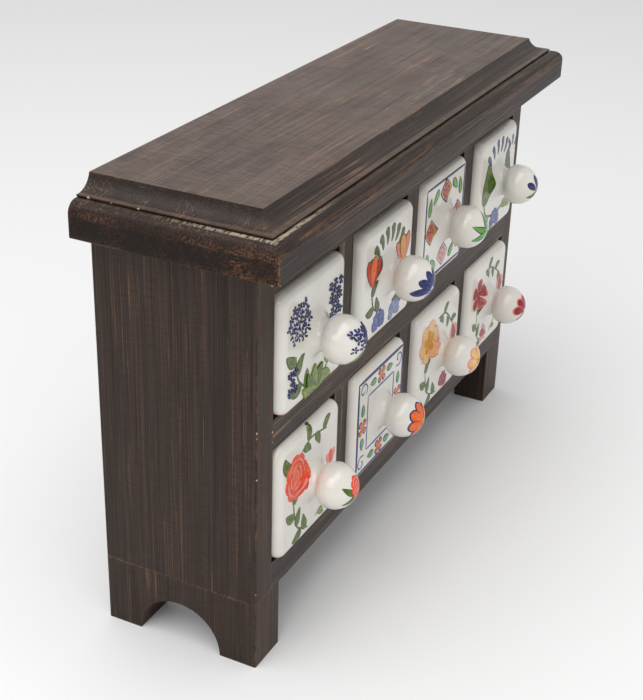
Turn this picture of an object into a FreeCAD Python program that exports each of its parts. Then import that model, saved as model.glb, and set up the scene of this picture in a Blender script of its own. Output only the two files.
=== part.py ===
import FreeCAD, Part
import math
import os

# Small apothecary cabinet: a dark wooden case on two arched foot boards, with a
# moulded cornice and two rows of four ceramic drawers.
# Millimetres. X runs along the front, Y from front to back, Z up.
# Origin: middle of the width, middle of the overall depth (knob tips to back), floor.

# ---- case -------------------------------------------------------------------
case_width = 310.0
case_depth = 80.0
case_top = 200.0
side_thickness = 14.0
arris_radius = 0.8

# ---- feet -------------------------------------------------------------------
foot_height = 35.0
foot_thickness = 22.0
front_foot_length = 19.0
back_foot_length = 18.0

# ---- rows and columns -------------------------------------------------------
columns = 4
bay_width = 60.0
bay_height = 59.0
divider_thickness = 14.0
bottom_board_thickness = 14.5
middle_shelf_thickness = 15.0

# ---- back panel -------------------------------------------------------------
back_thickness = 3.0
back_rebate_width = 7.0
back_clearance = 0.5

# ---- cornice ----------------------------------------------------------------
cornice_side_overhang = 14.0
cornice_front_overhang = 17.0
lower_cornice_height = 16.0
upper_cornice_height = 8.0
round_over_radius = 5.5
bottom_ease = 1.0
quirk_inset = 6.3
quirk_chamfer = 0.7
lip_height = 0.5
cove_top_inset = 15.8
cove_sagitta = 2.2

# ---- drawers ----------------------------------------------------------------
drawer_side_gap = 0.7
drawer_top_gap = 0.6
drawer_back_gap = 5.0
drawer_protrusion = 4.2
drawer_corner_radius = 6.0
drawer_edge_radius = 4.0
drawer_wall = 4.5
drawer_floor = 5.0
drawer_front_wall = 6.0
# how far each loose drawer is pushed in, left to right
lower_drawer_setbacks = (0.5, 0.0, -0.5, 0.0)
upper_drawer_setbacks = (0.0, -0.5, 1.5, 0.0)

# ---- knob: a ball with a tighter shoulder behind it, on a trumpet-shaped neck ----
knob_height = 30.0
ball_radius = 11.0
ball_offset = 12.3
shoulder_radius = 5.5
shoulder_angle = math.radians(10.0)
waist_radius = 7.5
waist_fillet_radius = 1.0
flare_spread = 6.5
knob_root_depth = 2.0

# ---- fasteners --------------------------------------------------------------
shelf_dowel_radius = 3.0
shelf_dowel_in_side = 10.0
shelf_dowel_in_board = 16.0
shelf_dowel_setbacks = (17.0, 57.0)
divider_dowel_radius = 2.5
divider_dowel_in_board = 8.0
divider_dowel_in_divider = 10.0
lower_divider_dowel_setbacks = (14.0, 60.0)
upper_divider_dowel_setbacks = (24.0, 50.0)
foot_screw_radius = 2.0
foot_screw_head_radius = 4.0
foot_screw_length = 40.0
foot_screw_recess = 12.0
cornice_screw_radius = 1.75
cornice_screw_head_radius = 3.5
cornice_screw_length = 26.0
cornice_screw_setbacks = (20.0, 58.0)
screw_slot_width = 0.8
screw_slot_depth = 1.0
pin_radius = 0.7
pin_head_radius = 1.3
pin_head_thickness = 0.8
pin_length = 14.0
pins_per_row = 6
pin_end_margin = 21.0

# ---- tolerances for picking edges and neighbours ------------------------------
same_place = 0.1
contact_gap = 1e-6

# ---- worked out from the above ------------------------------------------------
largest_reach = -min(lower_drawer_setbacks + upper_drawer_setbacks)
knob_reach = drawer_protrusion + ball_offset + ball_radius + largest_reach
front_y = knob_reach - (case_depth + knob_reach) / 2
back_y = front_y + case_depth
half_case = case_width / 2
inside_half = half_case - side_thickness
board_back_y = back_y - back_thickness
lower_row_z = foot_height + bottom_board_thickness
shelf_z = lower_row_z + bay_height
upper_row_z = shelf_z + middle_shelf_thickness
top_board_z = upper_row_z + bay_height
cornice_joint_z = case_top + lower_cornice_height
overall_top = cornice_joint_z + upper_cornice_height
column_pitch = bay_width + divider_thickness
drawer_width = bay_width - 2 * drawer_side_gap
drawer_height = bay_height - drawer_top_gap
drawer_front_y = front_y - drawer_protrusion
drawer_back_y = board_back_y - drawer_back_gap


def vec(x, y, z):
    return FreeCAD.Vector(x, y, z)


def block(x0, x1, y0, y1, z0, z1):
    return Part.makeBox(x1 - x0, y1 - y0, z1 - z0, vec(x0, y0, z0))


def near(a, b):
    return abs(a - b) < same_place


def mirrored(shape):
    return shape.mirror(vec(0, 0, 0), vec(1, 0, 0))


def rounded(shape, radius, wanted):
    """Round the edges of shape whose centre point passes the test."""
    edges = [edge for edge in shape.Edges if wanted(edge.CenterOfMass)]
    return shape.makeFillet(radius, edges)


def column_centre(column):
    return (column - (columns - 1) / 2) * column_pitch


def divider_centre(index):
    return column_centre(index) + column_pitch / 2


# ---- fasteners --------------------------------------------------------------
def screw_blank(x, y, z, radius, head_radius, length):
    """Countersunk screw pointing up, its head's flat face at z."""
    head_height = head_radius - radius
    point_length = 2 * radius
    shank_length = length - head_height - point_length
    head = Part.makeCone(head_radius, radius, head_height, vec(x, y, z))
    shank = Part.makeCylinder(radius, shank_length, vec(x, y, z + head_height))
    point = Part.makeCone(radius, 0, point_length, vec(x, y, z + length - point_length))
    return head.fuse([shank, point]).removeSplitter()


def slotted(screw, x, y, z, head_radius):
    slot = block(x - head_radius, x + head_radius, y - screw_slot_width / 2,
                 y + screw_slot_width / 2, z, z + screw_slot_depth)
    return screw.cut(slot)


def foot_screw_places():
    x = half_case - side_thickness / 2
    ys = (front_y + front_foot_length / 2, back_y - back_foot_length / 2)
    return [(sign * x, y) for sign in (-1, 1) for y in ys]


def foot_screw_blanks():
    return [screw_blank(x, y, foot_screw_recess, foot_screw_radius,
                        foot_screw_head_radius, foot_screw_length)
            for x, y in foot_screw_places()]


def foot_screws():
    return [slotted(screw, x, y, foot_screw_recess, foot_screw_head_radius)
            for screw, (x, y) in zip(foot_screw_blanks(), foot_screw_places())]


def cornice_screw_places():
    xs = (column_centre(0), column_centre(columns - 1))
    return [(x, front_y + setback) for x in xs for setback in cornice_screw_setbacks]


def cornice_screw_blanks():
    return [screw_blank(x, y, top_board_z, cornice_screw_radius,
                        cornice_screw_head_radius, cornice_screw_length)
            for x, y in cornice_screw_places()]


def cornice_screws():
    return [slotted(screw, x, y, top_board_z, cornice_screw_head_radius)
            for screw, (x, y) in zip(cornice_screw_blanks(), cornice_screw_places())]


def shelf_dowels():
    """Two dowels at each end of each of the three long boards."""
    length = shelf_dowel_in_side + shelf_dowel_in_board
    heights = (
        foot_height + bottom_board_thickness / 2,
        shelf_z + middle_shelf_thickness / 2,
        (top_board_z + case_top) / 2,
    )
    dowels = []
    for z in heights:
        for setback in shelf_dowel_setbacks:
            start = vec(-inside_half - shelf_dowel_in_side, front_y + setback, z)
            left = Part.makeCylinder(shelf_dowel_radius, length, start, vec(1, 0, 0))
            dowels += [left, mirrored(left)]
    return dowels


def divider_dowels():
    """Two dowels at the bottom and two at the top of every divider."""
    length = divider_dowel_in_board + divider_dowel_in_divider
    rows = (
        (lower_row_z, lower_divider_dowel_setbacks),
        (upper_row_z, upper_divider_dowel_setbacks),
    )
    dowels = []
    for row_z, setbacks in rows:
        bottom = row_z - divider_dowel_in_board
        top = row_z + bay_height - divider_dowel_in_divider
        for index in range(columns - 1):
            for setback in setbacks:
                for z in (bottom, top):
                    start = vec(divider_centre(index), front_y + setback, z)
                    dowels.append(Part.makeCylinder(divider_dowel_radius, length, start))
    return dowels


def back_panel_pins():
    """Rows of headed pins through the back panel into the long boards."""
    heights = (
        foot_height + bottom_board_thickness / 2,
        shelf_z + middle_shelf_thickness / 2,
        (top_board_z + case_top) / 2,
    )
    forward = vec(0, -1, 0)
    spacing = 2 * (inside_half - pin_end_margin) / (pins_per_row - 1)
    pins = []
    for z in heights:
        for index in range(pins_per_row):
            x = (index - (pins_per_row - 1) / 2) * spacing
            head = Part.makeCylinder(pin_head_radius, pin_head_thickness, vec(x, back_y, z), forward)
            shank = Part.makeCylinder(pin_radius, pin_length, vec(x, back_y, z), forward)
            pins.append(head.fuse(shank).removeSplitter())
    return pins


# ---- case boards --------------------------------------------------------------
def foot_board_left():
    """Board with a half-round arch that leaves a front and a back foot."""
    outer = -half_case
    inner = outer + foot_thickness
    board = block(outer, inner, front_y, back_y, 0, foot_height)
    arch_start = front_y + front_foot_length
    arch_end = back_y - back_foot_length
    arch_centre = vec(outer, (arch_start + arch_end) / 2, 0)
    arch_radius = (arch_end - arch_start) / 2
    arch = Part.makeCylinder(arch_radius, foot_thickness, arch_centre, vec(1, 0, 0))
    board = rounded(board, arris_radius, lambda c: near(c.z, foot_height / 2))
    return board.cut(arch)


def side_panel_left():
    outer = -half_case
    inner = -inside_half
    panel = block(outer, inner, front_y, back_y, foot_height, case_top)
    middle_z = (foot_height + case_top) / 2
    panel = rounded(panel, arris_radius, lambda c: near(c.x, outer) and near(c.z, middle_z))
    rebate = block(inner - back_rebate_width, inner, board_back_y, back_y, foot_height, case_top)
    return panel.cut(rebate)


def long_board(z0, z1):
    return block(-inside_half, inside_half, front_y, board_back_y, z0, z1)


def divider(index, row_z):
    x = divider_centre(index)
    half = divider_thickness / 2
    return block(x - half, x + half, front_y, board_back_y, row_z, row_z + bay_height)


def back_panel():
    half = inside_half + back_rebate_width - back_clearance
    return block(-half, half, board_back_y, back_y, foot_height + back_clearance,
                 case_top - back_clearance)


# ---- cornice ------------------------------------------------------------------
def prism(edges, along, length):
    face = Part.Face(Part.Wire(edges))
    return face.extrude(along * length)


def line(a, b):
    return Part.LineSegment(a, b).toShape()


def moulded_board(half_width, front, edge_profile):
    """Board moulded at the front and both ends, flush at the back.

    edge_profile takes a function that places (inset, z) in space, and gives the
    edges of the moulded side from its bottom to its top.
    """
    depth = back_y - front
    left = edge_profile(lambda inset, z: vec(-half_width + inset, front, z))
    right = edge_profile(lambda inset, z: vec(half_width - inset, front, z))
    bottom = line(left[0].Vertexes[0].Point, right[0].Vertexes[0].Point)
    top = line(left[-1].Vertexes[-1].Point, right[-1].Vertexes[-1].Point)
    across = prism([bottom] + right + [top] + left[::-1], vec(0, 1, 0), depth)
    face = edge_profile(lambda inset, z: vec(-half_width, front + inset, z))
    low = face[0].Vertexes[0].Point
    high = face[-1].Vertexes[-1].Point
    low_back = vec(low.x, back_y, low.z)
    high_back = vec(high.x, back_y, high.z)
    rear = [line(high, high_back), line(high_back, low_back), line(low_back, low)]
    along = prism(face + rear, vec(1, 0, 0), 2 * half_width)
    return across.common(along)


def arc(a, middle, b):
    return Part.Arc(a, middle, b).toShape()


def lower_cornice_profile(place):
    """Eased bottom edge, flat band, round-over at the top."""
    z0 = case_top
    z1 = cornice_joint_z
    ease = bottom_ease
    over = round_over_radius
    ease_middle = ease * (1 - math.cos(math.pi / 4))
    over_middle = over * (1 - math.cos(math.pi / 4))
    return [
        arc(place(ease, z0), place(ease_middle, z0 + ease_middle), place(0, z0 + ease)),
        line(place(0, z0 + ease), place(0, z1 - over)),
        arc(place(0, z1 - over), place(over_middle, z1 - over_middle), place(over, z1)),
    ]


def upper_cornice_profile(place):
    """Small groove over the board below, thin lip, then a cove up to the top."""
    z0 = cornice_joint_z
    z1 = overall_top
    lip_z = z0 + quirk_chamfer
    cove_z = lip_z + lip_height
    run = cove_top_inset - quirk_inset
    rise = z1 - cove_z
    chord = math.hypot(run, rise)
    middle_inset = quirk_inset + run / 2 + cove_sagitta * rise / chord
    middle_z = cove_z + rise / 2 - cove_sagitta * run / chord
    return [
        line(place(quirk_inset + quirk_chamfer, z0), place(quirk_inset, lip_z)),
        line(place(quirk_inset, lip_z), place(quirk_inset, cove_z)),
        arc(place(quirk_inset, cove_z), place(middle_inset, middle_z), place(cove_top_inset, z1)),
    ]


def cornice_board(profile):
    return moulded_board(half_case + cornice_side_overhang, front_y - cornice_front_overhang, profile)


# ---- drawers --------------------------------------------------------------------
def drawer_box(x, front, row_z):
    """Open-topped box with softly rounded edges inside and out."""
    half = drawer_width / 2
    top = row_z + drawer_height
    back = front + drawer_back_y - drawer_front_y
    middle = (front + back) / 2
    outer = block(x - half, x + half, front, back, row_z, top)
    outer = rounded(outer, drawer_corner_radius, lambda c: near(c.y, middle))
    outer = rounded(outer, drawer_edge_radius, lambda c: not near(c.y, middle))
    inner = half - drawer_wall
    space = block(x - inner, x + inner, front + drawer_front_wall, back - drawer_wall,
                  row_z + drawer_floor, top + 2 * drawer_edge_radius)
    space = rounded(space, drawer_edge_radius, lambda c: True)
    return outer.cut(space)


def on_circle(centre, radius, angle):
    """Point (w, r) on a circle; the angle runs from the equator towards the drawer."""
    return centre[0] + radius * math.sin(angle), centre[1] + radius * math.cos(angle)


def knob(x, front, z):
    """Ball and neck turned about Y: w is measured from the ball's centre to the drawer."""
    shoulder = on_circle((0, 0), ball_radius - shoulder_radius, shoulder_angle)
    fillet_r = waist_radius + waist_fillet_radius
    reach = shoulder_radius + waist_fillet_radius
    waist_w = shoulder[0] + math.sqrt(reach ** 2 - (fillet_r - shoulder[1]) ** 2)
    lean = math.atan2(waist_w - shoulder[0], fillet_r - shoulder[1])
    pole = -math.pi / 2
    flare_r = waist_radius + flare_spread

    def place(point):
        return vec(x + point[1], front - ball_offset + point[0], z)

    def turned_arc(centre, radius, start, end):
        middle = (start + end) / 2
        return arc(*[place(on_circle(centre, radius, angle)) for angle in (start, middle, end)])

    ellipse = Part.Ellipse(place((waist_w, waist_radius)), place((ball_offset, flare_r)),
                           place((waist_w, flare_r)))
    flare = ellipse.toShape(0, math.pi / 2)
    root_w = ball_offset + knob_root_depth
    edges = [
        turned_arc((0, 0), ball_radius, pole, shoulder_angle),
        turned_arc(shoulder, shoulder_radius, shoulder_angle, lean),
        turned_arc((waist_w, fillet_r), waist_fillet_radius, lean + math.pi, math.pi),
        flare,
        line(place((ball_offset, flare_r)), place((root_w, flare_r))),
        line(place((root_w, flare_r)), place((root_w, 0))),
        line(place((root_w, 0)), place((-ball_radius, 0))),
    ]
    outline = Part.Face(Part.Wire(edges))
    return outline.revolve(vec(x, 0, z), vec(0, 1, 0), 360)


def drawer(column, row_z, setback):
    x = column_centre(column)
    front = drawer_front_y + setback
    body = drawer_box(x, front, row_z)
    return body.fuse(knob(x, front, row_z + knob_height)).removeSplitter()


# ---- assembly -------------------------------------------------------------------
def foot_screw_recesses():
    return [Part.makeCylinder(foot_screw_head_radius, foot_screw_recess, vec(x, y, 0))
            for x, y in foot_screw_places()]


def without(board, pieces):
    """Cut the pieces' own space out of a board, so that they fit without overlap."""
    touching = [piece for piece in pieces if piece.distToShape(board)[0] < contact_gap]
    return board.cut(touching) if touching else board


def case_boards():
    left_foot = foot_board_left()
    left_side = side_panel_left()
    boards = {
        "foot_board_left": left_foot,
        "foot_board_right": mirrored(left_foot),
        "side_panel_left": left_side,
        "side_panel_right": mirrored(left_side),
        "bottom_board": long_board(foot_height, lower_row_z),
        "middle_shelf": long_board(shelf_z, upper_row_z),
        "top_board": long_board(top_board_z, case_top),
        "back_panel": back_panel(),
        "cornice_lower_board": cornice_board(lower_cornice_profile),
        "cornice_upper_board": cornice_board(upper_cornice_profile),
    }
    for index in range(columns - 1):
        boards["divider_lower_%d" % (index + 1)] = divider(index, lower_row_z)
        boards["divider_upper_%d" % (index + 1)] = divider(index, upper_row_z)
    return boards


def build():
    inserts = (foot_screw_blanks() + foot_screw_recesses() + cornice_screw_blanks()
               + shelf_dowels() + divider_dowels() + back_panel_pins())
    nodes = {name: without(board, inserts) for name, board in case_boards().items()}
    nodes["foot_screws"] = Part.makeCompound(foot_screws())
    nodes["cornice_screws"] = Part.makeCompound(cornice_screws())
    nodes["shelf_dowels"] = Part.makeCompound(shelf_dowels())
    nodes["divider_dowels"] = Part.makeCompound(divider_dowels())
    nodes["back_panel_pins"] = Part.makeCompound(back_panel_pins())
    rows = (("lower", lower_row_z, lower_drawer_setbacks), ("upper", upper_row_z, upper_drawer_setbacks))
    for row, row_z, setbacks in rows:
        for column, setback in enumerate(setbacks):
            nodes["drawer_%s_%d" % (row, column + 1)] = drawer(column, row_z, setback)
    return nodes


os.makedirs("parts", exist_ok=True)
for node_name, node_shape in build().items():
    solids = node_shape.Solids
    print(node_name, len(solids), "solids", node_shape.isValid(), round(node_shape.Volume))
    node_shape.exportStep("parts/%s.step" % node_name)
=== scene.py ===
"""Looks of the small apothecary cabinet: stained wooden case, eight painted ceramic drawers."""
import math
import random

import bpy
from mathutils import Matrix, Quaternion, Vector
from mathutils.bvhtree import BVHTree


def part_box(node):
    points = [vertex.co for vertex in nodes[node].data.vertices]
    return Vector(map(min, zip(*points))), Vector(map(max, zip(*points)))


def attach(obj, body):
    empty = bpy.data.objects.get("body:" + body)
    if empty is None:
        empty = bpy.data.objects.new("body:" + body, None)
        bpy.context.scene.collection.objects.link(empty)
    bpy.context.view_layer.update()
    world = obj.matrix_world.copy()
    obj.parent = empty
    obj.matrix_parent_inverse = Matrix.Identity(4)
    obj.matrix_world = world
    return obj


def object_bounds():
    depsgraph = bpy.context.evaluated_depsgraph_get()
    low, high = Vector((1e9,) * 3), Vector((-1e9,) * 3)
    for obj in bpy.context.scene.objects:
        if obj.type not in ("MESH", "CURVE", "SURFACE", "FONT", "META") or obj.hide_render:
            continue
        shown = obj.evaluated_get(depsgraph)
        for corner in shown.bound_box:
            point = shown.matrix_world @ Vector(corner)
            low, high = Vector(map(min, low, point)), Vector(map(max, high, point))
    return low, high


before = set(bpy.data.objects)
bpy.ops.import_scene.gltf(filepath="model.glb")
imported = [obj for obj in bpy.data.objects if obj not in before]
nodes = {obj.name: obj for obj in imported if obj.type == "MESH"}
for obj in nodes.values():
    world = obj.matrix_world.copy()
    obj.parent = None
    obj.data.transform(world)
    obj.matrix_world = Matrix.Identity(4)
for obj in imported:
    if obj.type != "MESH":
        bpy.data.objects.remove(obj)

MM = 0.001
cad_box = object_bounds()
panel_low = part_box("side_panel_left")[0]

# ---------------------------------------------------------------- camera
# the target is measured from the case's front left corner on the floor
CASE_CORNER = Vector((panel_low.x, panel_low.y, 0.0))
CAMERA_TARGET = CASE_CORNER + Vector((137.7, 38.95, 92.6)) * MM
CAMERA_DISTANCE = 716.5 * MM
CAMERA_AZIMUTH = math.radians(-63.776)
CAMERA_ELEVATION = math.radians(27.016)
CAMERA_ROLL = math.radians(1.703)
CAMERA_LENS = 71.18
CAMERA_SENSOR = 36.0
CAMERA_NEAR = 10 * MM


def make_camera():
    data = bpy.data.cameras.new("camera")
    data.lens = CAMERA_LENS
    data.sensor_width = CAMERA_SENSOR
    data.clip_start = CAMERA_NEAR
    camera = bpy.data.objects.new("camera", data)
    bpy.context.scene.collection.objects.link(camera)
    back = Vector((
        math.sin(CAMERA_AZIMUTH) * math.cos(CAMERA_ELEVATION),
        -math.cos(CAMERA_AZIMUTH) * math.cos(CAMERA_ELEVATION),
        math.sin(CAMERA_ELEVATION),
    ))
    camera.location = CAMERA_TARGET + back * CAMERA_DISTANCE
    look = back.to_track_quat("Z", "Y")
    camera.rotation_mode = "QUATERNION"
    camera.rotation_quaternion = look @ Quaternion((0, 0, 1), CAMERA_ROLL)
    bpy.context.scene.camera = camera


# ---------------------------------------------------------------- light and floor
WORLD_STRENGTH = 0.69
# name: (place, size in metres, power in watts)
SOFTBOXES = {
    "overhead": (Vector((-0.42, 0.04, 1.50)), 1.6, 15.0),
    "window": (Vector((-1.30, 0.02, 0.95)), 0.9, 5.0),
}
FLOOR_HALF = 8.0
FLOOR_COLOUR = (0.80, 0.80, 0.80, 1)
FLOOR_ROUGHNESS = 0.9
FLOOR_GLOSS = 0.1


def make_lights():
    world = bpy.data.worlds.new("studio")
    bpy.context.scene.world = world
    world.use_nodes = True
    sky = world.node_tree.nodes["Background"]
    sky.inputs["Color"].default_value = (1, 1, 1, 1)
    sky.inputs["Strength"].default_value = WORLD_STRENGTH
    for name, (place, size, power) in SOFTBOXES.items():
        data = bpy.data.lights.new(name, "AREA")
        data.energy = power
        data.size = size
        light = bpy.data.objects.new(name, data)
        bpy.context.scene.collection.objects.link(light)
        light.location = place
        light.rotation_mode = "QUATERNION"
        light.rotation_quaternion = place.to_track_quat("Z", "Y")


def make_floor():
    mesh = bpy.data.meshes.new("floor")
    half = FLOOR_HALF
    corners = [(-half, -half, 0), (half, -half, 0), (half, half, 0), (-half, half, 0)]
    mesh.from_pydata(corners, [], [(0, 1, 2, 3)])
    floor = bpy.data.objects.new("floor", mesh)
    bpy.context.scene.collection.objects.link(floor)
    material = bpy.data.materials.new("floor")
    material.use_nodes = True
    shader = material.node_tree.nodes["Principled BSDF"]
    shader.inputs["Base Color"].default_value = FLOOR_COLOUR
    shader.inputs["Roughness"].default_value = FLOOR_ROUGHNESS
    shader.inputs["Specular IOR Level"].default_value = FLOOR_GLOSS
    mesh.materials.append(material)


# ---------------------------------------------------------------- shader helper
# the colour sockets of a Mix node
MIX_A, MIX_B, MIX_RESULT = 6, 7, 2


class Shader:
    """A material, and short calls that add nodes to it."""

    def __init__(self, name):
        self.material = bpy.data.materials.new(name)
        self.material.use_nodes = True
        self.tree = self.material.node_tree
        self.bsdf = self.tree.nodes["Principled BSDF"]

    def put(self, socket, value):
        if isinstance(value, bpy.types.NodeSocket):
            self.tree.links.new(value, socket)
        else:
            socket.default_value = value

    def node(self, kind, inputs=(), **settings):
        node = self.tree.nodes.new("ShaderNode" + kind)
        for key, value in settings.items():
            setattr(node, key, value)
        for key, value in dict(inputs).items():
            self.put(node.inputs[key], value)
        return node

    def place(self):
        return self.node("TexCoord").outputs["Object"]

    def normal(self):
        return self.node("TexCoord").outputs["Normal"]

    def stroke_uv(self):
        return self.node("UVMap", uv_map="stroke").outputs["UV"]

    def scaled(self, vector, scale, offset=(0, 0, 0)):
        inputs = {0: vector, 1: scale, 2: offset}
        return self.node("VectorMath", inputs, operation="MULTIPLY_ADD").outputs[0]

    def math(self, operation, a, b=0.0, clamp=False):
        return self.node("Math", {0: a, 1: b}, operation=operation, use_clamp=clamp).outputs[0]

    def times(self, a, b):
        return self.math("MULTIPLY", a, b)

    def blend(self, a, b, share):
        """a and b added together, with b's share of the sum."""
        return self.math("ADD", self.times(a, 1 - share), self.times(b, share))

    def vector_math(self, operation, a, b):
        return self.node("VectorMath", {0: a, 1: b}, operation=operation).outputs

    def distance(self, place, spot):
        return self.vector_math("DISTANCE", place, spot)["Value"]

    def parts(self, vector):
        return self.node("SeparateXYZ", {0: vector}).outputs

    def noise(self, vector, scale=1.0, detail=3.0, roughness=0.55):
        inputs = {"Vector": vector, "Scale": scale, "Detail": detail, "Roughness": roughness}
        return self.node("TexNoise", inputs).outputs["Fac"]

    def steps(self, value, low, high, to_low=0.0, to_high=1.0):
        inputs = {"Value": value, "From Min": low, "From Max": high, "To Min": to_low, "To Max": to_high}
        return self.node("MapRange", inputs, interpolation_type="SMOOTHSTEP").outputs["Result"]

    def mix(self, amount, a, b):
        node = self.node("Mix", data_type="RGBA")
        self.put(node.inputs["Factor"], amount)
        self.put(node.inputs[MIX_A], a)
        self.put(node.inputs[MIX_B], b)
        return node.outputs[MIX_RESULT]

    def bump(self, height, strength, distance):
        inputs = {"Height": height, "Strength": strength, "Distance": distance}
        return self.node("Bump", inputs).outputs["Normal"]

    def finish(self, **values):
        for key, value in values.items():
            self.put(self.bsdf.inputs[key.replace("_", " ")], value)
        return self.material


def rgb(r, g, b):
    return (r, g, b, 1.0)


# ---------------------------------------------------------------- wood
X_AXIS, Z_AXIS = 0, 2
WOOD_GLOSS = 0.32
DUSTY = rgb(0.142, 0.096, 0.073)
STAIN_DEEP = rgb(0.0065, 0.0040, 0.0032)
STAIN_DARK = rgb(0.0125, 0.0078, 0.0060)
STAIN_LIGHT = rgb(0.041, 0.0245, 0.0175)
STREAK = rgb(0.130, 0.060, 0.032)
PIN_STREAK = rgb(0.26, 0.135, 0.075)
BARE_WOOD = rgb(0.22, 0.105, 0.050)
END_GRAIN = rgb(0.20, 0.078, 0.032)
CREAM = rgb(0.62, 0.52, 0.38)
SCRATCHED = rgb(0.22, 0.19, 0.16)
# noise scales along the grain and across it
GRAIN_SCALE = {
    "fine": (16, 1900),
    "broad": (6, 210),
    "pin": (3.5, 430),
    "pin_room": (14, 60),
    "brush": (900, 130),
    "wear": (170, 1100),
    "scratch": (5, 260),
}
CLOUD_SCALE = 42.0
SPECK_SCALE = 1300.0
END_SPECK_SCALE = (1700, 620, 1700)
END_PATCH_SCALE = 70.0
SCRATCH_ROOM_SCALE = 26.0


def along(axis, pair):
    """Scale vector that has the first number on the grain's axis and the second on the others."""
    return tuple(pair[0] if i == axis else pair[1] for i in range(3))


class Wood(Shader):
    """Near-black satin stain over brown wood, with the grain along one axis.

    From dust on, each method lays one more thing over the colour so far, so their order counts.
    """

    def __init__(self, name, axis, seed):
        super().__init__(name)
        self.axis = axis
        self.offset = (seed * 1.37, seed * 2.11, seed * 0.73)
        self.at = self.place()
        self.fine = self.grain("fine", 4.0, 0.6)
        self.broad = self.grain("broad", 3.0, 0.5)
        self.brush = self.grain("brush", 3.0, 0.65)
        self.ragged = self.grain("wear", 3.0, 0.65)
        self.cloud = self.noise(self.at, CLOUD_SCALE, 3.0, 0.55)
        self.tone = self.blend(self.fine, self.broad, 0.25)
        self.end_on = self.math("ABSOLUTE", self.parts(self.normal())[axis])
        self.end_face = self.steps(self.end_on, 0.55, 0.95)
        self.height = self.math("ADD", self.fine, self.times(self.brush, 0.8))
        self.colour = self.mix(self.steps(self.tone, 0.36, 0.64), STAIN_DARK, STAIN_LIGHT)

    def grain(self, kind, detail, roughness):
        stretched = self.scaled(self.at, along(self.axis, GRAIN_SCALE[kind]), self.offset)
        return self.noise(stretched, 1.0, detail, roughness)

    def lay(self, amount, colour):
        self.colour = self.mix(amount, self.colour, colour)

    def thin_lines(self, noise, level, outer, inner):
        """1 where the noise is within the inner limit of a level, 0 beyond the outer limit."""
        return self.steps(self.math("ABSOLUTE", self.math("SUBTRACT", noise, level)), outer, inner)

    def edge_nearness(self, low, high, width):
        """1 on a box's edges, fading to 0 at the given distance from them."""
        shifted = self.vector_math("SUBTRACT", self.at, (low + high) / 2)[0]
        size = self.vector_math("ABSOLUTE", shifted, (0, 0, 0))[0]
        inside = self.vector_math("SUBTRACT", size, (high - low) / 2)[0]
        x, y, z = self.parts(inside)[:3]
        smaller = self.math("MINIMUM", x, y)
        larger = self.math("MAXIMUM", x, y)
        median = self.math("MAXIMUM", smaller, self.math("MINIMUM", larger, z))
        return self.steps(median, -width, 0.0)

    def dust(self, amount):
        """A pale film on faces that look up, and light specks all over."""
        up = self.steps(self.parts(self.normal())[2], 0.97, 0.995, 0.0, amount)
        in_grain = self.steps(self.tone, 0.32, 0.64, 0.55, 1.0)
        film = self.times(in_grain, self.steps(self.cloud, 0.36, 0.62, 0.70, 1.0))
        self.lay(self.times(up, film), DUSTY)
        specks = self.steps(self.noise(self.at, SPECK_SCALE, 2.0, 0.6), 0.66, 0.74)
        specks = self.times(specks, self.steps(self.cloud, 0.42, 0.60))
        self.lay(self.times(specks, 0.5), SCRATCHED)

    def streaks(self, amount):
        """Brown streaks and fine pale lines along the grain, where the stain is thin."""
        streak = self.times(self.steps(self.fine, 0.57, 0.70), self.steps(self.broad, 0.40, 0.62))
        self.lay(self.times(streak, 0.65 * amount), STREAK)
        pins = self.thin_lines(self.grain("pin", 2.0, 0.5), 0.5, 0.018, 0.004)
        pins = self.times(pins, self.steps(self.grain("pin_room", 2.0, 0.5), 0.46, 0.60))
        self.lay(self.times(pins, 0.75 * amount), PIN_STREAK)

    def brush_marks(self):
        """Darker marks that the brush left across the grain."""
        self.lay(self.times(self.steps(self.brush, 0.42, 0.66), 0.45), STAIN_DARK)

    def painted_front_light(self, amount):
        """Painted light: a lighter, browner tone on faces that look to the front, for how the light
        falls on them.
        """
        self.lay(self.steps(self.parts(self.normal())[1], -0.7, -0.95, 0.0, amount), STREAK)

    def end_grain(self, worn, worn_corner):
        """Dark ends with open grain, worn more round one spot if it is given with its reach."""
        self.lay(self.times(self.end_face, 0.85), STAIN_DEEP)
        speck = self.noise(self.scaled(self.at, END_SPECK_SCALE), 1.0, 2.0, 0.6)
        patch = self.noise(self.at, END_PATCH_SCALE, 3.0, 0.6)
        open_grain = self.times(self.steps(self.end_on, 0.6, 0.9), self.steps(speck, 0.48, 0.60))
        open_grain = self.times(open_grain, self.steps(patch, 0.40, 0.64, 0.15, 1.0))
        if worn_corner:
            spot, reach = worn_corner
            worn = self.steps(self.distance(self.at, spot), 0.2 * reach, reach, 0.65, worn)
        self.lay(self.times(open_grain, worn), END_GRAIN)

    def rubbed_edges(self, boxes):
        """Bare wood along the edges of boxes, each given as low, high, width, amount."""
        patches = self.math("ADD", self.times(self.steps(self.cloud, 0.40, 0.62), 0.8), 0.2)
        for low, high, width, amount in boxes:
            rub = self.times(self.edge_nearness(low, high, width), self.steps(self.ragged, 0.42, 0.62))
            self.lay(self.times(self.times(rub, patches), amount), BARE_WOOD)

    def painted_edge_highlight(self, low, high, width, reach):
        """A painted highlight: a cream line along a box's top edges, fading away from its front left
        corner.
        """
        away = self.distance(self.at, Vector((low.x, low.y, high.z)))
        on_top = self.steps(self.parts(self.at)[2], high.z - width, high.z - 0.3 * width)
        pale = self.times(self.edge_nearness(low, high, width), on_top)
        pale = self.times(pale, self.steps(away, 0.15 * reach, reach, 0.58, 0.05))
        self.lay(self.times(pale, self.steps(self.ragged, 0.38, 0.56)), CREAM)

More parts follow.
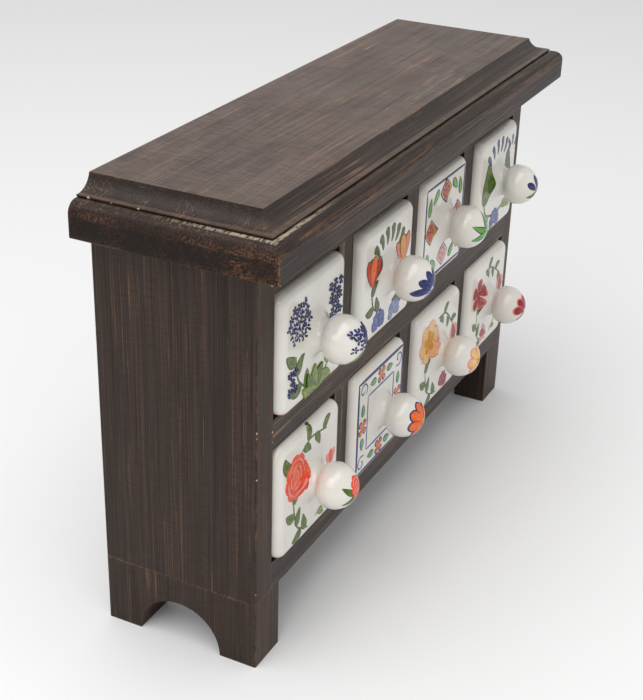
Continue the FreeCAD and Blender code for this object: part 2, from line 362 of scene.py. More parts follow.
    def chips(self, chips):
        """Cream chips with ragged rims, each given as a spot and a radius."""
        for spot, radius in chips:
            wobble = self.times(self.math("SUBTRACT", self.ragged, 0.5), radius * 3.0)
            away = self.math("ADD", self.distance(self.at, spot), wobble)
            self.lay(self.steps(away, radius, radius * 0.7), CREAM)

    def scratches(self, amount):
        """Broken pale lines along the grain that also cut into the surface."""
        thin = self.thin_lines(self.grain("scratch", 1.0, 0.3), 0.53, 0.006, 0.001)
        broken = self.steps(self.noise(self.at, SCRATCH_ROOM_SCALE, 2.0, 0.5), 0.50, 0.62)
        mark = self.times(thin, broken)
        self.lay(self.times(mark, amount), SCRATCHED)
        self.height = self.math("SUBTRACT", self.height, mark)


def wood_material(name, axis, seed, wear, ends=0.3, worn_corner=None, painted_edge_highlight=None, chips=(),
                  dust=0.0, painted_shade=0.0, painted_front_light=0.0, streaks=1.0, brown=0.0, scratches=0.3,
                  gloss=WOOD_GLOSS):
    """Stained wood. The methods of Wood say what their values are for.

    painted_shade and brown are shares of deep stain, laid as painted shade, and of brown, each laid
    evenly over the whole board.
    """
    wood = Wood(name, axis, seed)
    if dust:
        wood.dust(dust)
    wood.streaks(streaks)
    wood.brush_marks()
    # painted shade: deep stain laid evenly over the whole board
    if painted_shade:
        wood.lay(painted_shade, STAIN_DEEP)
    if brown:
        wood.lay(brown, STREAK)
    # painted light: a lighter, browner tone on faces that look to the front
    if painted_front_light:
        wood.painted_front_light(painted_front_light)
    wood.end_grain(ends, worn_corner)
    wood.rubbed_edges(wear)
    # painted highlight: a cream line along a box's top edges
    if painted_edge_highlight:
        wood.painted_edge_highlight(*painted_edge_highlight)
    wood.chips(chips)
    wood.scratches(scratches)
    rough = wood.steps(wood.tone, 0.35, 0.65, 0.50, 0.36)
    rough = wood.math("ADD", rough, wood.times(wood.end_face, 0.25))
    bump = wood.bump(wood.height, 0.5, 0.0003)
    return wood.finish(Base_Color=wood.colour, Roughness=rough, Normal=bump, Specular_IOR_Level=gloss)


# ---------------------------------------------------------------- hidden pieces
STEEL_DULL = rgb(0.42, 0.42, 0.43)
STEEL_BRIGHT = rgb(0.60, 0.60, 0.62)
BACK_LIGHT = rgb(0.085, 0.050, 0.032)
BACK_DARK = rgb(0.045, 0.027, 0.018)
BEECH_LIGHT = rgb(0.66, 0.49, 0.31)
BEECH_DARK = rgb(0.50, 0.35, 0.20)
BARE_ROUGHNESS = 0.6


def plain_wood_material(name, axis, light, dark, roughness):
    """Bare planed wood with the grain along one axis."""
    shader = Shader(name)
    place = shader.place()
    fine = shader.noise(shader.scaled(place, along(axis, (40, 900))), 1.0, 4.0, 0.6)
    broad = shader.noise(shader.scaled(place, along(axis, (9, 90))), 1.0, 3.0, 0.5)
    tone = shader.blend(fine, broad, 0.4)
    colour = shader.mix(shader.steps(tone, 0.35, 0.65), dark, light)
    rough = shader.steps(fine, 0.3, 0.7, roughness + 0.08, roughness - 0.08)
    return shader.finish(Base_Color=colour, Roughness=rough, Normal=shader.bump(tone, 0.3, 0.0002))


def metal_material():
    """Zinc-plated steel, a little cloudy."""
    shader = Shader("zinc_steel")
    cloud = shader.noise(shader.place(), 300.0, 4.0, 0.6)
    colour = shader.mix(shader.steps(cloud, 0.35, 0.65), STEEL_DULL, STEEL_BRIGHT)
    rough = shader.steps(cloud, 0.3, 0.7, 0.45, 0.28)
    bump = shader.bump(cloud, 0.1, 0.0001)
    return shader.finish(Base_Color=colour, Roughness=rough, Metallic=1.0, Normal=bump)


# ---------------------------------------------------------------- case
# the uprights that show from outside are smoother and browner than the boards between them, and get a
# painted lighter tone on their faces that look to the front
OUTSIDE = {"gloss": 0.22, "painted_front_light": 0.13, "streaks": 0.42, "brown": 0.030, "scratches": 0.10}
INSIDE = {"scratches": 0.25}
OUTSIDE_UPRIGHTS = ["foot_board_left", "foot_board_right", "side_panel_left", "side_panel_right"]
DIVIDERS = sorted(name for name in nodes if name.startswith("divider_") and name != "divider_dowels")
LEVEL_BOARDS = ["bottom_board", "middle_shelf", "top_board"]
# rubbed edges: how far they reach in, and how much bare wood shows
SHARP_WEAR = (0.55 * MM, 0.75)
SOFT_WEAR = (1.6 * MM, 0.35)
# chips in the front left stile, in mm: across from its outer edge, above the floor, radius
STILE_CHIPS = ((0, 124, 0.7), (0, 121.5, 0.5), (0.2, 101, 0.5), (13.8, 118, 0.6), (13.9, 113, 0.5),
               (13.9, 106, 0.4), (0, 41, 0.6))
# height of the lower cornice board's round-over, and how far in the board above it stands, in mm
BEAD = 5.5
LEDGE = 6.3
# how far in from its ends and front the upper cornice board's flat top starts, in mm
COVE = 9.5
# chips in mm: right of the lower board's front left corner, behind it, above its underside, radius
LOWER_CHIPS = ((1.5, 0.0, 0.4, 0.45), (0.0, 3.0, 0.2, 0.5))
# chips in the upper board's left end, in mm: in front of its back, above its underside, radius
UPPER_CHIPS = ((6, 0.6, 0.8), (17, 0.6, 0.5), (30, 0.6, 0.6))


def dress_case():
    for seed, name in enumerate(OUTSIDE_UPRIGHTS + DIVIDERS + LEVEL_BOARDS, start=1):
        low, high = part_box(name)
        outside = name in OUTSIDE_UPRIGHTS
        wear = [(low, high) + SHARP_WEAR]
        if outside:
            wear.append((low, high) + SOFT_WEAR)
        axis = X_AXIS if name in LEVEL_BOARDS else Z_AXIS
        chips = []
        if name == "side_panel_left":
            chips = [(Vector((low.x + x * MM, low.y, z * MM)), radius * MM)
                     for x, z, radius in STILE_CHIPS]
        looks = OUTSIDE if outside else INSIDE
        set_material(name, wood_material("stain_" + name, axis, seed, wear, chips=chips, **looks))
    dress_cornice_lower()
    dress_cornice_upper()
    back = plain_wood_material("back_board", Z_AXIS, BACK_LIGHT, BACK_DARK, BARE_ROUGHNESS)
    set_material("back_panel", back)
    beech = plain_wood_material("beech", X_AXIS, BEECH_LIGHT, BEECH_DARK, BARE_ROUGHNESS)
    for name in ("shelf_dowels", "divider_dowels"):
        set_material(name, beech)
    steel = metal_material()
    for name in ("foot_screws", "cornice_screws", "back_panel_pins"):
        set_material(name, steel)


def dress_cornice_lower():
    low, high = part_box("cornice_lower_board")
    under_bead = high - Vector((0, 0, BEAD)) * MM
    ledge_low = low + Vector((LEDGE, LEDGE, 0)) * MM
    ledge_high = high - Vector((LEDGE, 0, 0)) * MM
    looks = {
        "wear": [
            (low, high, 3.5 * MM, 0.25),
            (low, high, 0.9 * MM, 0.35),
            (low, under_bead, 1.2 * MM, 0.40),
        ],
        "worn_corner": (Vector((low.x, low.y, (low.z + high.z) / 2)), 36 * MM),
        # a painted highlight along the lower board's ledge, where the board above stands
        "painted_edge_highlight": (ledge_low, ledge_high, 0.42 * MM, 60 * MM),
        "chips": [(low + Vector(place) * MM, radius * MM) for *place, radius in LOWER_CHIPS],
    }
    # the lower cornice board is darkened all over with deep stain: painted shade
    board = wood_material("stain_cornice_lower", X_AXIS, 31, ends=0.14, painted_shade=0.15, gloss=0.20,
                          **looks)
    set_material("cornice_lower_board", board)


def dress_cornice_upper():
    low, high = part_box("cornice_upper_board")
    top_low = low + Vector((COVE, COVE, 0)) * MM
    top_high = high - Vector((COVE, 0, 0)) * MM
    looks = {
        "wear": [(top_low, top_high, 1.4 * MM, 0.22), (low, high, 1.4 * MM, 0.40)],
        "chips": [(Vector((low.x, high.y - back * MM, low.z + up * MM)), radius * MM)
                  for back, up, radius in UPPER_CHIPS],
    }
    board = wood_material("stain_cornice_upper", X_AXIS, 47, ends=0.14, scratches=0.8, dust=0.8,
                          **looks)
    set_material("cornice_upper_board", board)


def set_material(name, material):
    for slot in nodes[name].material_slots:
        slot.material = material
    if not nodes[name].material_slots:
        raise RuntimeError(name + " has no material slot")


# ---------------------------------------------------------------- ceramic
GLAZE = rgb(0.755, 0.73, 0.675)
GLAZE_THIN = rgb(0.70, 0.645, 0.56)
BISCUIT = rgb(0.52, 0.24, 0.10)
PINHOLE = rgb(0.35, 0.27, 0.18)
# the glaze fades out between these heights above a drawer's underside
GLAZE_ENDS = (2.6 * MM, 3.0 * MM)
RIM_WOBBLE = 0.9 * MM
GLAZE_COAT = 0.6
GLAZE_COAT_ROUGHNESS = 0.08


def ceramic_material(name, underside, seed):
    """Warm white glaze that stops at a line of bare brown clay along the bottom edge."""
    shader = Shader(name)
    place = shader.place()
    offset = (seed * 0.9, seed * 1.7, seed * 0.4)
    cloud = shader.noise(shader.scaled(place, (60, 60, 60), offset), 1.0, 3.0, 0.5)
    colour = shader.mix(shader.steps(cloud, 0.35, 0.7, 0.0, 0.55), GLAZE, GLAZE_THIN)
    wobble = shader.times(shader.noise(place, 180.0, 2.0, 0.5), RIM_WOBBLE)
    above = shader.math("ADD", shader.math("SUBTRACT", shader.parts(place)[2], underside), wobble)
    bare, glazed = GLAZE_ENDS
    colour = shader.mix(shader.steps(above, glazed, bare), colour, BISCUIT)
    pinholes = shader.steps(shader.noise(place, 900.0, 2.0, 0.5), 0.74, 0.80)
    colour = shader.mix(shader.times(pinholes, 0.35), colour, PINHOLE)
    rough = shader.steps(cloud, 0.3, 0.7, 0.16, 0.24)
    ripple = shader.bump(shader.noise(place, 95.0, 2.0, 0.4), 0.12, 0.0006)
    return shader.finish(Base_Color=colour, Roughness=rough, Normal=ripple, Coat_Weight=GLAZE_COAT,
                         Coat_Roughness=GLAZE_COAT_ROUGHNESS)


DRAWERS = ["drawer_%s_%d" % (row, column) for row in ("upper", "lower") for column in (1, 2, 3, 4)]


def dress_drawers():
    for seed, name in enumerate(DRAWERS, start=1):
        set_material(name, ceramic_material("glaze_" + name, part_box(name)[0].z, seed))


# ---------------------------------------------------------------- enamel colours
# name: (deep, thin, strength of the dark rib along the middle)
ENAMELS = {
    "navy": ((22, 28, 86), (62, 74, 140), 0.0),
    "blue": ((46, 62, 134), (108, 122, 176), 0.0),
    "wash": ((100, 112, 158), (168, 174, 200), 0.0),
    "olive": ((46, 70, 0), (88, 108, 8), 0.3),
    "leaf": ((62, 88, 0), (108, 130, 12), 0.4),
    "sage": ((104, 126, 34), (154, 168, 86), 0.25),
    "fresh": ((84, 152, 62), (134, 188, 104), 0.0),
    "coral": ((228, 62, 26), (242, 122, 84), 0.0),
    "brick": ((176, 40, 16), (214, 82, 40), 0.0),
    "orange": ((228, 92, 24), (240, 132, 52), 0.0),
    "yellow": ((200, 130, 0), (222, 164, 20), 0.0),
    "straw": ((226, 176, 110), (240, 208, 160), 0.0),
    "crimson": ((134, 8, 22), (176, 48, 56), 0.0),
    "pink": ((222, 138, 128), (238, 178, 164), 0.0),
    "brown": ((74, 30, 18), (118, 58, 34), 0.0),
}
ENAMEL_GLOSS = 0.35
ENAMEL_COAT = 0.15
ENAMEL_COAT_ROUGHNESS = 0.1
paints = {}


def linear(colour):
    """A display colour, 0 to 255 in each channel, as the linear colour a shader takes."""
    return rgb(*(((c / 255 + 0.055) / 1.055) ** 2.4 for c in colour))


def enamel(name):
    """Brushed enamel under glaze: streaky along the stroke, deeper where it pooled at the edges."""
    if name in paints:
        return paints[name]
    deep, thin, rib = ENAMELS[name]
    shader = Shader("enamel_" + name)
    uv = shader.stroke_uv()
    streaks = shader.noise(shader.scaled(uv, (0.35, 4.5, 1.0)), 1.0, 3.0, 0.55)
    clouds = shader.noise(shader.place(), 420.0, 2.0, 0.5)
    across = shader.math("ABSOLUTE", shader.math("SUBTRACT", shader.parts(uv)[1], 0.5))
    pooled = shader.steps(across, 0.30, 0.50, 0.0, 0.45)
    thickness = shader.blend(streaks, clouds, 0.25)
    cover = shader.math("ADD", shader.steps(thickness, 0.33, 0.57), pooled, clamp=True)
    colour = shader.mix(cover, linear(thin), linear(deep))
    if rib:
        middle = shader.steps(across, 0.11, 0.02, 0.0, rib)
        colour = shader.mix(middle, colour, linear([0.5 * c for c in deep]))
    rough = shader.steps(streaks, 0.3, 0.7, 0.20, 0.30)
    bump = shader.bump(thickness, 0.08, 0.0002)
    paints[name] = shader.finish(Base_Color=colour, Roughness=rough, Normal=bump,
                                 Specular_IOR_Level=ENAMEL_GLOSS, Coat_Weight=ENAMEL_COAT,
                                 Coat_Roughness=ENAMEL_COAT_ROUGHNESS)
    return paints[name]


# ---------------------------------------------------------------- brush strokes
# how wide a stroke is at each share of its length, 0 to 1
def line_shape(s):
    return 1 - 0.6 * abs(2 * s - 1) ** 5


def leaf_shape(s):
    return math.sin(math.pi * s ** 0.75) ** 0.85


def comma_shape(s):
    return min(1.0, math.sqrt(5 * s)) * (1 - s) ** 0.55


def petal_shape(s):
    return math.sin(math.pi * s ** 1.5) ** 0.8


def blob_shape(s):
    return math.sqrt(max(0.0, 1 - (2 * s - 1) ** 2))


def lozenge_shape(s):
    return 1 - abs(2 * s - 1)


FRONT_MIDDLE_UP = 29.2      # mm from a drawer's underside to the middle of its front
KNOB_UP = 0.8               # mm from there up to the knob's axis
FACE_BACK = 23.3            # mm from the front of the knob back to the drawer's face
FACE_START = 4.4            # mm in front of the face, where points are dropped from
NECK_CLEAR = 8.2            # mm round the knob's axis that stay bare
BALL_RADIUS = 11.0
BALL_REACH = 10.6           # mm round the knob's axis that the ball can take paint on
FACING = -0.15              # a surface takes paint if its normal's y is below this
STEP = {"face": 0.8, "knob": 0.6}         # mm between the points of a stroke
COAT = 0.03                 # mm that strokes start above the glaze, and mm that they reach into it
LAYER = {"face": 0.003, "knob": 0.009}    # mm that each stroke lies above the one before
FEWEST_ROWS = 5
THINNEST = 0.10             # mm, half the width of a stroke's ends
TRIES = 24                  # places tested across a stroke where part of it can't be laid
OUTLINE = 1.1               # mm that an outline adds to the width of a leaf or petal
TILE_EDGE = 1.3             # mm that a tile's rim adds to its width and height
AHEAD = 0.01                # share of a route over which its direction is taken, each way
TEXTURE_SHIFT = 7.3         # mm that each stroke's texture starts further along than the last one's
HEAD_FILL = 0.86            # share of an ellipse's reach, squared, that a head's florets fill


def polar(angle, radius):
    return Vector((math.cos(math.radians(angle)), math.sin(math.radians(angle)))) * radius


def bowed(start, end, bend):
    """Three points from start to end; the middle one is pushed left by bend times the length."""
    start, end = Vector(start), Vector(end)
    way = end - start
    return [start, (start + end) / 2 + Vector((-way.y, way.x)) * bend, end]


def route_point(route, s):
    """The place at a share of a smooth curve through the route's points."""
    spans = len(route) - 1
    k = min(int(s * spans), spans - 1)
    f = s * spans - k
    a, b, c, d = (Vector(route[min(max(k + i, 0), spans)]) for i in (-1, 0, 1, 2))
    square, cube = 2 * a - 5 * b + 4 * c - d, 3 * b - a - 3 * c + d
    return 0.5 * (2 * b + (c - a) * f + square * f * f + cube * f ** 3)


class Painting:
    """Enamel on one drawer: thin closed patches laid on its face or on its knob.

    Places are in mm from the middle of the face, or from the knob's axis, to the right and up.
    """

    def __init__(self, drawer, part):
        self.low, self.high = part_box(drawer)
        mesh = nodes[drawer].data
        faces = [tuple(p.vertices) for p in mesh.polygons]
        self.surface = BVHTree.FromPolygons([v.co for v in mesh.vertices], faces)
        self.axis_x = (self.low.x + self.high.x) / 2
        self.axis_z = self.low.z + (FRONT_MIDDLE_UP + KNOB_UP) * MM
        self.drawer = drawer
        self.part = part
        self.random = random.Random(drawer + part)
        self.points, self.uvs, self.faces, self.slots, self.smooth, self.colours = [], [], [], [], [], []
        self.strokes = 0

    def drop(self, place, lift):
        """The points above and below the surface at a place, or None where the paint can't go."""
        hit, normal = self.on_ball(place) if self.part == "knob" else self.on_front(place)
        if hit is None or normal.y > FACING:
            return None
        above = hit + normal * lift
        above.y = max(above.y, cad_box[0][1])
        return above, hit - normal * COAT * MM

    def on_ball(self, place):
        if place.length > BALL_REACH:
            return None, None
        depth = math.sqrt(BALL_RADIUS ** 2 - place.length_squared)
        normal = Vector((place.x, -depth, place.y)) / BALL_RADIUS
        centre = Vector((self.axis_x, self.low.y + BALL_RADIUS * MM, self.axis_z))
        return centre + normal * BALL_RADIUS * MM, normal

    def on_front(self, place):
        up = place.y - KNOB_UP
        if math.hypot(place.x, up) < NECK_CLEAR:
            return None, None
        depth = (FACE_BACK - FACE_START) * MM
        start = Vector((self.axis_x + place.x * MM, self.low.y + depth, self.axis_z + up * MM))
        return self.surface.ray_cast(start, Vector((0, 1, 0)), 3 * FACE_START * MM)[:2]

    def row(self, centre, side, across, lift):
        """Points across a stroke: its whole width, or the longest part of it that can be laid."""
        shares = [2 * j / across - 1 for j in range(across + 1)]
        row = [self.drop(centre + side * t, lift) for t in shares]
        if None in row:
            tries = [2 * k / TRIES - 1 for k in range(TRIES + 1)]
            runs, run = [[]], []
            for t in tries:
                if self.drop(centre + side * t, lift) is None:
                    run = []
                else:
                    run.append(t)
                    runs.append(list(run))
            run = max(runs, key=len)
            if len(run) < 2:
                return None
            shares = [run[0] + (run[-1] - run[0]) * j / across for j in range(across + 1)]
            row = [self.drop(centre + side * t, lift) for t in shares]
        if None in row:
            return None
        return [(pair, (t + 1) / 2) for pair, t in zip(row, shares)]

    def stroke(self, route, width, colour, shape=line_shape):
        """One brush stroke along a smooth curve through the route's points."""
        length = sum((Vector(b) - Vector(a)).length for a, b in zip(route, route[1:]))
        rows = max(FEWEST_ROWS, math.ceil(length / STEP[self.part]))
        across = max(2, math.ceil(width / STEP[self.part]))
        self.strokes += 1
        lift = (COAT + LAYER[self.part] * self.strokes) * MM
        run = []
        for i in range(rows + 2):
            s = min(1, i / rows)
            ahead, behind = route_point(route, min(1, s + AHEAD)), route_point(route, max(0, s - AHEAD))
            way = (ahead - behind).normalized()
            side = Vector((-way.y, way.x)) * max(THINNEST, width / 2 * shape(s))
            row = self.row(route_point(route, s), side, across, lift) if i <= rows else None
            if row:
                run.append((s * length, row))
                continue
            if len(run) > 1:
                self.add_patch(run, across, colour)
            run = []

    def add_patch(self, run, across, colour):
        """A closed skin from rows of points above the surface and the same rows below it."""
        if colour not in self.colours:
            self.colours.append(colour)
        slot = self.colours.index(colour)
        first, rows, wide = len(self.points), len(run), across + 1
        for level in (0, 1):
            for along_mm, row in run:
                for pair, share in row:
                    self.points.append(pair[level])
                    self.uvs.append((along_mm + TEXTURE_SHIFT * self.strokes, share))
        below = rows * wide

        def at(i, j):
            return first + i * wide + j

        for i in range(rows - 1):
            for j in range(across):
                quad = (at(i, j), at(i + 1, j), at(i + 1, j + 1), at(i, j + 1))
                self.add_face(quad, slot, True)
                self.add_face(tuple(p + below for p in reversed(quad)), slot, False)
        rim = [at(i, 0) for i in range(rows)]
        rim += [at(rows - 1, j) for j in range(1, wide)]
        rim += [at(i, across) for i in range(rows - 2, -1, -1)]
        rim += [at(0, j) for j in range(across - 1, 0, -1)]
        for a, b in zip(rim, rim[1:] + rim[:1]):
            self.add_face((b, a, a + below, b + below), slot, False)

    def add_face(self, face, slot, smooth):
        self.faces.append(face)
        self.slots.append(slot)
        self.smooth.append(smooth)

    def finish(self):
        name = self.drawer.replace("drawer", "painted_" + self.part)
        mesh = bpy.data.meshes.new(name)
        mesh.from_pydata(self.points, [], self.faces)
        for colour in self.colours:
            mesh.materials.append(enamel(colour))
        mesh.polygons.foreach_set("material_index", self.slots)
        mesh.polygons.foreach_set("use_smooth", self.smooth)
        layer = mesh.uv_layers.new(name="stroke")
        for loop in mesh.loops:
            layer.data[loop.index].uv = self.uvs[loop.vertex_index]
        mesh.update()
        piece = bpy.data.objects.new(name, mesh)
        bpy.context.scene.collection.objects.link(piece)
        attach(piece, self.drawer)

    # single marks
    def leaf(self, start, end, width, colour="leaf", bend=0.12, outline=None):
        if outline:
            self.stroke(bowed(start, end, bend), width + OUTLINE, outline, leaf_shape)
        self.stroke(bowed(start, end, bend), width, colour, leaf_shape)

    def comma(self, start, end, width, colour, bend=0.2):
        self.stroke(bowed(start, end, bend), width, colour, comma_shape)

    def petal(self, centre, angle, length, width, colour, outline=None):
        start = Vector(centre) + polar(angle, 0.12 * length)
        end = Vector(centre) + polar(angle, length)
        if outline:
            over = Vector(centre) + polar(angle, length + 0.5)
            self.stroke([start, over], width + OUTLINE, outline, petal_shape)
        self.stroke([start, end], width, colour, petal_shape)

    def blob(self, centre, width, height, colour, angle=0.0):
        reach = polar(angle, width / 2)
        self.stroke([Vector(centre) - reach, Vector(centre) + reach], height, colour, blob_shape)

    def line(self, route, width, colour):
        self.stroke(route, width, colour)

    def square(self, reach, width, colour):
        """Four straight lines round the middle of the face, that far out from it."""
        corners = [(-reach, reach), (reach, reach), (reach, -reach), (-reach, -reach)]
        for start, end in zip(corners, corners[1:] + corners[:1]):
            self.line([start, end], width, colour)

    # small motifs
    def flower(self, centre, petals, length, width, colour, outline, heart, turn=0.0):
        for k in range(petals):
            self.petal(centre, turn + 360 * k / petals, length, width, colour, outline)
        self.blob(centre, length * 0.5, length * 0.5, heart)

    def floret(self, centre, size, colour):
        turn = self.random.uniform(0, 72)
        for k in range(5):
            angle = turn + 72 * k + self.random.uniform(-14, 14)
            start = Vector(centre) + polar(angle, 0.15 * size)
            end = Vector(centre) + polar(angle, size * self.random.uniform(0.8, 1.1))
            self.comma(end, start, 0.62 * size, colour, self.random.uniform(-0.2, 0.2))

    def floret_head(self, centre, width, height, colour="navy", size=2.3):
        """Rows of small florets that fill an ellipse."""
        pitch = size * 1.72
        rows = int(height / pitch / 2) + 1
        for r in range(-rows, rows + 1):
            for c in range(-5, 6):
                u = (c + 0.5 * (r % 2)) * pitch * 1.08
                v = r * pitch * 0.92
                if (2 * u / width) ** 2 + (2 * v / height) ** 2 < HEAD_FILL:
                    nudge = Vector((self.random.uniform(-0.5, 0.5), self.random.uniform(-0.5, 0.5)))
                    self.floret(Vector(centre) + Vector((u, v)) + nudge, size, colour)

    def brush_fan(self, root, angles, length, width, colour):
        """Loose strokes that spread from one root, longest in the middle."""
        low, high, count = angles
        for k in range(count):
            share = k / (count - 1)
            reach = length * (0.72 + 0.28 * math.sin(math.pi * share))
            angle = low + (high - low) * share + self.random.uniform(-5, 5)
            end = Vector(root) + polar(angle, reach)
            start = Vector(root) + polar(angle, 0.12 * length)
            self.stroke(bowed(start, end, self.random.uniform(-0.1, 0.1)), width, colour, petal_shape)

    def rose(self, centre, size, colour="coral", shade="pink"):
        """Oval bloom: scalloped rim, then paler and deeper arcs that wind to the middle."""
        centre = Vector(centre)

        def spot(angle, radius):
            way = polar(angle, radius * size)
            return centre + Vector((0.78 * way.x, way.y))

        for k in range(8):
            self.blob(spot(45 * k + 10, 0.31), 0.34 * size, 0.34 * size, colour, 45 * k + 100)
        self.blob(centre, 0.56 * size, 0.72 * size, colour)
        rings = ((0.38, shade), (0.27, colour), (0.25, shade), (0.13, shade))
        for ring, (radius, tone) in enumerate(rings):
            for k in range(4):
                turn = 90 * k + 37 * ring
                arc = [spot(turn + sweep, radius) for sweep in (0, 35, 70)]
                self.stroke(arc, 0.045 * size, tone)

    def bud(self, root, angle, length, colour, shade, outline):
        """A closed flower: two narrow petals with a broad one between them."""
        for turn, share, tone in ((-24, 0.30, shade), (24, 0.30, shade), (0, 0.42, colour)):
            self.petal(root, angle + turn, length, share * length, tone, outline)

    def sprig(self, route, count, size, colour="leaf", stem=1.0):
        """A stem with leaves to the right and left of it in turn."""
        self.line(route, stem, colour)
        for k in range(count):
            share = (k + 0.6) / (count + 0.2)
            place = route_point(route, share)
            way = route_point(route, share + 0.02) - place
            angle = math.degrees(math.atan2(way.y, way.x)) + (50 if k % 2 else -50)
            self.leaf(place, place + polar(angle, size), 0.56 * size, colour, 0.1)

    def arch(self, centre, angles, radii, width, colour):
        """Separate strokes that point away from the middle, side by side round an arc."""
        low, high, count = angles
        for k in range(count):
            angle = low + (high - low) * k / (count - 1)
            inner, outer = (Vector(centre) + polar(angle, radius) for radius in radii)
            self.comma(outer, inner, width, colour, 0.12)

    def flower_tile(self, centre, width, height, faded=False):
        """A lozenge tile with a four-petalled flower in it."""
        centre = Vector(centre)
        reach = polar(0, width / 2)
        edge, ground, bloom = ("wash", "straw", "pink") if faded else ("navy", "yellow", "brick")
        rim = reach * (1 + TILE_EDGE / width)
        self.stroke([centre - rim, centre + rim], height + TILE_EDGE, edge, lozenge_shape)
        self.stroke([centre - reach, centre + reach], height, ground, lozenge_shape)
        for k in range(4):
            self.petal(centre, 90 * k, 0.32 * (width, height)[k % 2], 0.26 * height, bloom, edge)
        self.blob(centre, 1.6, 1.6, edge)


# ---------------------------------------------------------------- designs on the drawer faces
# plain sprigs, heads and borders laid out round the knob; places in mm from the middle of the face
MIDDLE = (0.0, KNOB_UP)
SIDES = (-1, 1)


def blue_heads(p):
    for side, leaves in ((-1, "leaf"), (1, "sage")):
        p.sprig([(side * 3, -25), (side * 15, -16), (side * 18, -3)], 4, 10.5, leaves, 1.2)
    p.floret_head((-15.5, 12.0), 21, 24)
    p.floret_head((18.5, 10.0), 14, 22)
    p.floret_head((-21.0, -14.0), 9, 13)
    for angle, colour in ((20, "sage"), (55, "leaf"), (90, "sage"), (125, "leaf"), (160, "sage")):
        p.leaf((0.0, -26.5), Vector((0.0, -26.5)) + polar(angle, 12.5), 6.6, colour, 0.1)


def orange_buds(p):
    p.arch(MIDDLE, (30, 150, 8), (15.5, 24.5), 5.2, "olive")
    for side, colour, shade in ((-1, "orange", "brick"), (1, "yellow", "orange")):
        p.sprig([(side * 6, -16), (side * 15, -12), (side * 18, -2)], 3, 9.0, "olive", 1.2)
        p.bud((side * 18, -2), 90 + 8 * side, 17.0, colour, shade, "brown")
    p.brush_fan((-9.0, -25.0), (20, 160, 8), 10.5, 4.0, "blue")
    p.brush_fan((9.0, -25.0), (20, 160, 8), 9.5, 3.8, "wash")


def bordered_tiles(p):
    p.square(25.0, 1.5, "navy")
    for side in SIDES:
        for end in SIDES:
            p.leaf((side * 21, end * 10), (side * 19, end * 20), 3.6, "fresh", 0.0, "navy")
            p.leaf((side * 9, end * 21.5), (side * 16, end * 15), 3.6, "fresh", 0.0, "navy")
        p.flower_tile((side * 17.5, 0.8), 13.0, 13.0)
        p.flower_tile((0.0, side * 17.5 + 0.8), 13.0, 12.0, faded=side < 0)


def big_leaves(p):
    for side, colour, width in ((-1, "leaf", 13.5), (1, "olive", 11.0)):
        p.line([(side * 2, -19), (side * 14, -16), (side * 19, -8)], 1.4, colour)
        p.leaf((side * 19, -9), (side * 15, 16), width, colour, 0.08 * side)
        p.leaf((side * 10, -17), (side * 24, -21), 6.0, "sage", 0.1)
    p.arch(MIDDLE, (45, 135, 6), (16.0, 25.0), 4.2, "navy")
    p.arch((20.0, 10.0), (20, 120, 4), (6.0, 12.0), 2.8, "navy")
    p.brush_fan((0.0, -26.0), (15, 165, 9), 10.5, 4.0, "blue")


def coral_rose(p):
    p.sprig([(-2.0, -24.5), (-13.0, -18.0), (-17.0, -2.0)], 5, 9.5, "leaf", 1.1)
    p.sprig([(-10.0, 19.0), (0.0, 22.5), (15.0, 20.0)], 4, 8.5, "leaf", 1.0)
    p.sprig([(5.0, -23.0), (16.0, -17.0), (20.0, -4.0)], 4, 7.0, "sage", 1.0)
    p.leaf((-19.0, 14.0), (-25.5, 24.0), 6.5, "leaf")
    p.bud((20.0, -4.0), 92, 10.0, "coral", "pink", None)
    p.rose((-14.5, 9.0), 24.5)


def corner_scrolls(p):
    band = 20.4
    p.square(25.5, 1.7, "navy")
    p.square(15.0, 1.0, "blue")
    for turn in (45, 135, 225, 315):
        centre = polar(turn, band * math.sqrt(2))
        p.line([centre + polar(turn + 180 + 55 * k, 4.6 - 0.5 * k) for k in range(8)], 0.9, "blue")
    for turn in (0, 90, 180, 270):
        centre = polar(turn, band)
        p.flower(centre, 4, 4.4, 2.6, "orange", "navy", "yellow", 45)
        for side in SIDES:
            way = polar(turn + 90, side)
            p.leaf(centre + way * 6, centre + way * 13, 2.8, "fresh", 0.0, "blue")


def yellow_flower(p):
    p.sprig([(0.0, -24.5), (-13.0, -19.0), (-18.0, -3.0)], 5, 9.0, "leaf", 1.0)
    p.sprig([(-3.0, 21.0), (8.0, 20.0), (18.0, 10.0)], 4, 7.5, "leaf", 1.0)
    p.bud((18.0, 11.0), -70, 14.0, "crimson", "pink", None)
    p.brush_fan((8.0, -25.5), (20, 130, 6), 10.0, 4.0, "crimson")
    p.flower((-14.5, 12.0), 6, 12.0, 8.8, "straw", "pink", "yellow", 12)
    for k in range(5):
        p.petal((-14.5, 12.0), 20 + 72 * k, 7.0, 4.6, "yellow")


def crimson_sprays(p):
    p.sprig([(2.0, -24.0), (-12.0, -18.0), (-15.0, 0.0)], 5, 8.5, "leaf", 0.9)
    p.sprig([(-6.0, 21.0), (5.0, 20.0), (18.0, 12.0)], 5, 7.5, "leaf", 0.9)
    p.sprig([(8.0, -22.0), (16.0, -16.0), (20.0, -6.0)], 3, 6.0, "sage", 0.9)
    p.flower((-14.5, 9.5), 5, 9.6, 6.8, "crimson", "pink", "crimson", 8)
    p.bud((18.5, 12.0), -75, 13.0, "crimson", "pink", None)
    p.bud((4.0, -21.5), 160, 12.0, "crimson", "pink", None)


# ---------------------------------------------------------------- designs on the knobs
def knob_blue_head(p):
    p.leaf((0.0, -3.0), (-5.0, -8.0), 3.6, "sage")
    p.leaf((0.0, -3.0), (5.0, -8.0), 3.6, "leaf")
    p.floret_head((0.0, 2.6), 15.0, 12.0, "navy", 2.0)


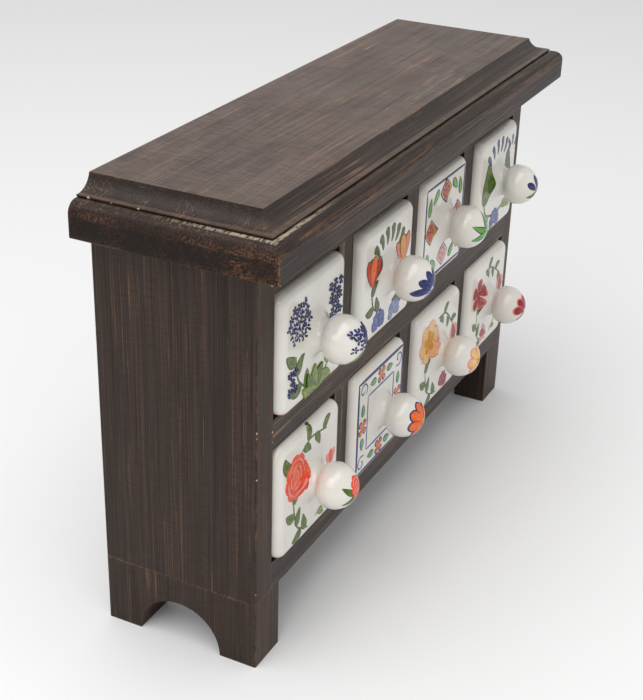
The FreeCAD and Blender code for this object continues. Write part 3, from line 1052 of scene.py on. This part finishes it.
def knob_blue_petals(p):
    for angle in range(0, 181, 36):
        p.petal((0.0, -3.0), angle, 10.0, 4.4, "navy")
    p.brush_fan((0.0, -3.0), (200, 340, 5), 5.5, 1.8, "wash")


def knob_crossed_leaves(p):
    for angle in (25, 75, 155, 205):
        p.leaf((0.0, 0.0), polar(angle, 9.0), 2.8, "fresh", 0.06, "navy")


def knob_navy_sprig(p):
    for angle in (40, 90, 140):
        p.petal((0.0, -2.0), angle, 9.0, 3.8, "navy")
    for angle in (200, 340):
        p.leaf((0.0, -2.0), Vector((0.0, -2.0)) + polar(angle, 7.0), 2.8, "leaf")


def knob_rose(p):
    for angle in (150, 215, 325):
        p.leaf((0.0, 0.0), polar(angle, 8.5), 3.6, "leaf")
    p.rose((0.8, 2.0), 11.0)


def knob_orange_star(p):
    for k in range(7):
        p.petal((0.0, 0.0), 90 + 360 * k / 7, 8.4, 5.4, "orange", "navy")
    p.blob((0.0, 0.0), 3.6, 3.6, "yellow")


def knob_yellow_flower(p):
    p.flower((0.0, 0.0), 6, 7.4, 5.2, "straw", "pink", "yellow")


def knob_crimson_petals(p):
    for angle in (30, 75, 120, 165):
        p.petal((0.0, -1.0), angle, 8.4, 4.6, "crimson", "pink")
    p.leaf((0.0, -1.0), (-4.6, -6.0), 2.6, "sage")


DESIGNS = {
    "drawer_upper_1": (blue_heads, knob_blue_head),
    "drawer_upper_2": (orange_buds, knob_blue_petals),
    "drawer_upper_3": (bordered_tiles, knob_crossed_leaves),
    "drawer_upper_4": (big_leaves, knob_navy_sprig),
    "drawer_lower_1": (coral_rose, knob_rose),
    "drawer_lower_2": (corner_scrolls, knob_orange_star),
    "drawer_lower_3": (yellow_flower, knob_yellow_flower),
    "drawer_lower_4": (crimson_sprays, knob_crimson_petals),
}


def paint_drawers():
    for drawer, designs in DESIGNS.items():
        for part, design in zip(("face", "knob"), designs):
            painting = Painting(drawer, part)
            design(painting)
            painting.finish()


make_camera()
make_lights()
make_floor()
dress_case()
dress_drawers()
paint_drawers()
bpy.context.scene.view_settings.view_transform = "Standard"
